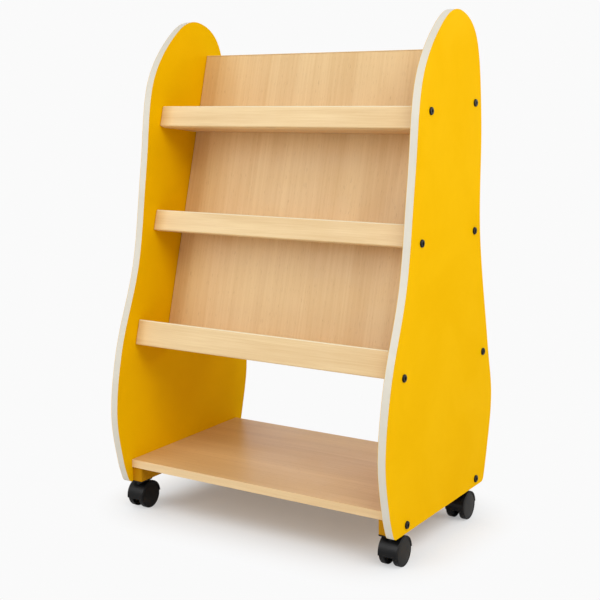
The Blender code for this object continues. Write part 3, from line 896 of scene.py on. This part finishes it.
    def bolt(self, hold: str) -> None:
        """Builds one bolt, with a rounded head, a hexagon socket and its shank."""
        node = f"side_bolt_{self.hand.word}_{hold}"
        low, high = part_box(node)
        middle = (low + high) / 2
        tip, crown = (low.x, high.x) if self.hand is Hand.RIGHT else (high.x, low.x)
        work = Workpiece(f"{node}_bolt")
        bm = work.bm
        head = work.cone(self.head_radius, self.head_radius, self.head_height, self.head_sides)
        bmesh.ops.translate(bm, vec=(0, 0, -self.head_height / 2), verts=head)
        brow = work.edges(lambda edge: all(abs(v.co.z) < MERGE for v in edge.verts))
        work.soften(brow, self.head_round, self.head_steps)
        top = max(bm.faces, key=lambda face: face.calc_center_median().z)
        rim = list(top.edges)
        bmesh.ops.delete(bm, geom=[top], context="FACES_ONLY")
        hexagon = bmesh.ops.create_circle(bm, cap_ends=False, segments=6, radius=self.socket_radius)["verts"]
        mouth = list({edge for vert in hexagon for edge in vert.link_edges})
        bmesh.ops.bridge_loops(bm, edges=rim + mouth)
        sunk = bmesh.ops.extrude_edge_only(bm, edges=mouth)["geom"]
        floor_edges = [item for item in sunk if isinstance(item, bmesh.types.BMEdge)]
        floor_verts = [item for item in sunk if isinstance(item, bmesh.types.BMVert)]
        bmesh.ops.translate(bm, vec=(0, 0, -self.socket_depth), verts=floor_verts)
        bmesh.ops.contextual_create(bm, geom=floor_edges)
        bmesh.ops.recalc_face_normals(bm, faces=bm.faces)
        neck = Vector((0, 0, -self.head_height))
        point = Vector((0, 0, -abs(crown - tip)))
        work.rod(neck, point, self.shank_radius, self.shank_sides)
        turn = Matrix.Rotation(math.radians(90) * self.hand.value, 3, "Y")
        bmesh.ops.rotate(bm, matrix=turn, verts=bm.verts)
        bmesh.ops.translate(bm, vec=(crown, middle.y, middle.z), verts=bm.verts)
        work.finish(BLACK_STEEL, CARCASS, node)

    def build(self) -> None:
        """Builds the panel, its band and its bolts."""
        self.board()
        self.edging()
        for hold in self.holds:
            self.bolt(hold)


@dataclass
class Caster:
    """One twin-wheel caster: plate, moulded hood and two wheels."""

    row: Row
    hand: Hand
    plate_corner: float = 0.004
    plate_thickness: float = 0.0025
    plate_gap: float = 0.0003
    plate_ease: float = 0.0004
    corner_steps: int = 5
    ease_steps: int = 2
    screw_radius: float = 0.0036
    screw_taper: float = 0.7
    screw_head: float = 0.0006
    screw_sides: int = 20
    screw_inset: float = 0.008
    cover_gap: float = 0.0010
    cover_wall: float = 0.0020
    cover_ease: float = 0.0005
    cover_steps: int = 60
    cover_front: float = math.radians(-8)
    cover_rear: float = math.radians(176)
    web_half: float = 0.0085
    web_front: float = math.radians(30)
    web_rear: float = math.radians(150)
    web_foot: float = 0.004
    web_steps: int = 30
    grip_radius: float = 0.0078
    boss_radius: float = 0.0085
    rod_sides: int = 40
    axle_radius: float = 0.0043
    hub_floor: float = 0.0035
    recess_floor: float = 0.0045
    rim_face: float = 0.0022
    wheel_steps: int = 72

    @property
    def place(self) -> str:
        """The caster's row and side, as in node names."""
        return f"{self.row.value}_{self.hand.word}"

    def plate(self) -> None:
        """Builds the mounting plate with the low heads of its four screws."""
        node = f"caster_plate_{self.place}"
        low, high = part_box(node)
        high.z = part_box(f"side_panel_{self.hand.word}")[0].z - self.plate_gap
        low.z = high.z - self.plate_thickness
        work = Workpiece(f"{node}_screwed")
        work.block(low, high)
        corners = work.edges(lambda edge: abs(edge.verts[0].co.z - edge.verts[1].co.z) > MERGE)
        work.soften(corners, self.plate_corner, self.corner_steps)
        rims = work.edges(lambda edge: edge.calc_face_angle(0.0) > SHARP)
        work.soften(rims, self.plate_ease, self.ease_steps)
        reach = (high.x - low.x) / 2 - self.screw_inset
        for x in (-reach, reach):
            for y in (-reach, reach):
                middle = Vector(((low.x + high.x) / 2 + x, (low.y + high.y) / 2 + y, low.z))
                head = work.cone(self.screw_radius * self.screw_taper, self.screw_radius, self.screw_head,
                                 self.screw_sides)
                bmesh.ops.translate(work.bm, vec=middle - Vector((0, 0, self.screw_head / 2)), verts=head)
        work.finish(BLACK_STEEL, CARCASS, node)

    def hood(self) -> None:
        """Builds the hood: curved cover, middle web, axle grip and stem boss."""
        node = f"caster_hood_{self.place}"
        low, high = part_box(node)
        axle_low, axle_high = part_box(f"caster_axle_{self.place}")
        stem_low, stem_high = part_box(f"caster_stem_{self.place}")
        axle = (axle_low + axle_high) / 2
        wheel = axle.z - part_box(f"caster_wheel_{self.place}_left")[0].z
        inside = wheel + self.cover_gap
        outside = inside + self.cover_wall
        half = (high.x - low.x) / 2
        ease = self.cover_ease
        cover = ((-half, inside), (-half, outside - 2 * ease), (-half + 0.6 * ease, outside - 0.6 * ease),
                 (-half + 2 * ease, outside), (half - 2 * ease, outside),
                 (half - 0.6 * ease, outside - 0.6 * ease), (half, outside - 2 * ease), (half, inside))
        work = Workpiece(f"{node}_moulding")
        sweep = self.cover_rear - self.cover_front
        work.revolve(cover, axle, self.cover_front, sweep, self.cover_steps, True)
        web = ((-self.web_half, self.web_foot), (-self.web_half, inside + ease),
               (self.web_half, inside + ease), (self.web_half, self.web_foot))
        work.revolve(web, axle, self.web_front, self.web_rear - self.web_front, self.web_steps, True)
        reach = Vector((self.web_half, 0, 0))
        work.rod(axle - reach, axle + reach, self.grip_radius, self.rod_sides)
        stem = (stem_low + stem_high) / 2
        foot = Vector((stem.x, stem.y, axle.z + self.grip_radius))
        work.rod(foot, Vector((stem.x, stem.y, high.z)), self.boss_radius, self.rod_sides)
        work.finish(MOULDING, f"{self.place}_swivel", node)

    def wheel(self, end: Hand) -> None:
        """Builds one wheel: tread, rim ring, cover disc and the recess on its inner face."""
        node = f"caster_wheel_{self.place}_{end.word}"
        low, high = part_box(node)
        axle = (low + high) / 2
        axle.z = sum(corner.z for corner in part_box(f"caster_axle_{self.place}")) / 2
        radius = axle.z - low.z
        half = (high.x - low.x) / 2
        blind = half - self.hub_floor
        web = half - self.recess_floor
        lip = radius - self.rim_face
        hub = ((blind, 0.0), (blind, self.axle_radius), (-half, self.axle_radius), (-half, 0.0080))
        recess = ((web - 0.002, 0.0084), (web, 0.0092), (web, 0.0248), (web - 0.002, 0.0256), (-half, 0.0260))
        tread = ((-half, radius - 0.0014), (-half + 0.0004, radius - 0.0004), (-half + 0.0014, radius),
                 (half - 0.0018, radius), (half - 0.0006, radius - 0.0005), (half, radius - 0.0015))
        groove = ((half, lip), (half - 0.0003, lip - 0.0003), (half - 0.0008, lip - 0.0004),
                  (half - 0.0008, lip - 0.0010), (half - 0.0005, lip - 0.0016))
        disc = ((half - 0.0001, 0.0180), (half, 0.0060), (half, 0.0))
        outward = [(x * end.value, r) for x, r in hub + recess + tread + groove + disc]
        work = Workpiece(f"{node}_tyre")
        work.revolve(outward, axle, 0.0, math.tau, self.wheel_steps, False)
        work.finish(WHEEL, f"{self.place}_{end.word}_wheel", node)

    def build(self) -> None:
        """Builds the caster, and dresses the pins that show between its parts."""
        self.plate()
        self.hood()
        for end in Hand:
            self.wheel(end)
        for pin in ("axle", "stem"):
            dress_node(f"caster_{pin}_{self.place}", ZINC)


@dataclass
class Lamp:
    """One soft studio lamp, aimed at the display."""

    name: str
    place: Triple
    aim: Triple
    size: float
    watts: float

    def build(self) -> None:
        """Hangs the lamp."""
        data = bpy.data.lights.new(self.name, "AREA")
        data.shape = "DISK"
        data.size = self.size
        data.energy = self.watts
        lamp = bpy.data.objects.new(self.name, data)
        lamp.location = self.place
        lamp.rotation_euler = (Vector(self.aim) - Vector(self.place)).to_track_quat("-Z", "Y").to_euler()
        bpy.context.scene.collection.objects.link(lamp)


@dataclass
class Studio:
    """Pale floor, white surroundings, soft lamps and the camera at the photograph's angle."""

    eye: Triple = (1.4053, -2.1793, 0.952)
    yaw: float = 0.5734
    pitch: float = -0.1274
    roll: float = 0.0111
    lens: float = 70.63
    shift: float = -0.1
    sensor: float = 36.0
    sight: float = 200.0
    ambient: float = 0.36
    white: float = 0.957
    floor_half: float = 40.0
    floor_colour: Colour = (0.86, 0.87, 0.88)
    shadow_core: Triple = (0.25, 0.10, 0.0)
    shadow_fade: float = 0.23
    shadow_lift: float = 0.12
    lamps: tuple[Lamp, ...] = (
        Lamp("high_right", (1.71, -1.43, 2.56), (0.0, 0.0, 0.55), 1.6, 33.0),
        Lamp("right_side", (2.78, 0.0, 1.67), (0.0, 0.0, 0.55), 1.6, 20.0),
        Lamp("left_front", (-1.31, -2.46, 1.67), (0.0, 0.0, 0.55), 1.8, 26.0),
        Lamp("rear_right", (2.0, 2.2, 1.2), (0.0, 0.0, 0.45), 1.8, 13.0),
        Lamp("left_rear", (-2.5, 1.5, 1.6), (0.0, 0.0, 0.5), 1.8, 20.0),
    )

    def camera(self) -> None:
        """Sets up the camera for a square image."""
        data = bpy.data.cameras.new("camera")
        data.lens = self.lens
        data.sensor_width = self.sensor
        data.shift_y = self.shift
        data.clip_end = self.sight
        made = bpy.data.objects.new("camera", data)
        turn = Matrix.Rotation(self.yaw, 4, "Z") @ Matrix.Rotation(math.radians(90) + self.pitch, 4, "X")
        made.matrix_world = Matrix.Translation(self.eye) @ turn @ Matrix.Rotation(-self.roll, 4, "Z")
        bpy.context.scene.collection.objects.link(made)
        bpy.context.scene.camera = made

    def surroundings(self) -> None:
        """Sets a white world that lights the display gently."""
        world = bpy.data.worlds.new("studio")
        bpy.context.scene.world = world
        world.use_nodes = True
        sketch = NodeSketch(world.node_tree)
        light = world.node_tree.nodes["Background"]
        light.inputs["Color"].default_value = (1, 1, 1, 1)
        path = sketch.node("ShaderNodeLightPath").outputs
        seen = path["Is Camera Ray"]
        for kind in ("Is Glossy Ray", "Is Transmission Ray"):
            either = sketch.node("ShaderNodeMath", operation="MAXIMUM")
            sketch.link(seen, either.inputs[0])
            sketch.link(path[kind], either.inputs[1])
            seen = either.outputs[0]
        level = sketch.node("ShaderNodeMapRange", {"To Min": self.ambient, "To Max": self.white})
        sketch.link(seen, level.inputs["Value"])
        sketch.link(level.outputs["Result"], light.inputs["Strength"])

    def floor(self) -> None:
        """Lays the floor: it keeps the display's shadow, and fades into white further off."""
        work = bmesh.new()
        bmesh.ops.create_grid(work, x_segments=1, y_segments=1, size=self.floor_half)
        mesh = bpy.data.meshes.new("floor")
        work.to_mesh(mesh)
        work.free()
        made = bpy.data.objects.new("floor", mesh)
        bpy.context.scene.collection.objects.link(made)
        material = bpy.data.materials.new("studio_floor")
        material.use_nodes = True
        sketch = NodeSketch(material.node_tree)
        material.node_tree.nodes.remove(material.node_tree.nodes["Principled BSDF"])
        ends = material.node_tree.nodes["Material Output"].inputs["Surface"]
        path = sketch.node("ShaderNodeLightPath").outputs
        matt = sketch.node("ShaderNodeBsdfDiffuse", {"Color": (*self.floor_colour, 1)})
        white = sketch.node("ShaderNodeEmission", {"Strength": self.white})
        place = sketch.node("ShaderNodeTexCoord").outputs["Object"]
        for step, amount in (("ABSOLUTE", None), ("SUBTRACT", self.shadow_core), ("MAXIMUM", (0, 0, 0))):
            outward = sketch.node("ShaderNodeVectorMath", {1: amount} if amount else None, operation=step)
            sketch.link(place, outward.inputs[0])
            place = outward.outputs["Vector"]
        distance = sketch.node("ShaderNodeVectorMath", operation="LENGTH")
        sketch.link(place, distance.inputs[0])
        far = sketch.remapped(distance.outputs["Value"], 0.0, self.shadow_fade, self.shadow_lift, 1.0)
        fading = sketch.node("ShaderNodeMixShader")
        sketch.link(far, fading.inputs[0])
        sketch.link(matt.outputs[0], fading.inputs[1])
        sketch.link(white.outputs[0], fading.inputs[2])
        seen = sketch.node("ShaderNodeMixShader")
        sketch.link(path["Is Camera Ray"], seen.inputs[0])
        sketch.link(matt.outputs[0], seen.inputs[1])
        sketch.link(fading.outputs[0], seen.inputs[2])
        sketch.link(seen.outputs[0], ends)
        mesh.materials.append(material)

    def build(self) -> None:
        """Sets up the whole studio."""
        bpy.context.scene.view_settings.view_transform = "Standard"
        self.camera()
        self.surroundings()
        self.floor()
        for lamp in self.lamps:
            lamp.build()


def main() -> None:
    """Builds the studio and the display, piece by piece."""
    logging.basicConfig(level=logging.INFO, format="%(name)s: %(message)s")
    Studio().build()
    Boards().build()
    for hand in Hand:
        SidePanel(hand).build()
    for row in Row:
        for hand in Hand:
            Caster(row, hand).build()


if __name__ == "__main__":
    main()
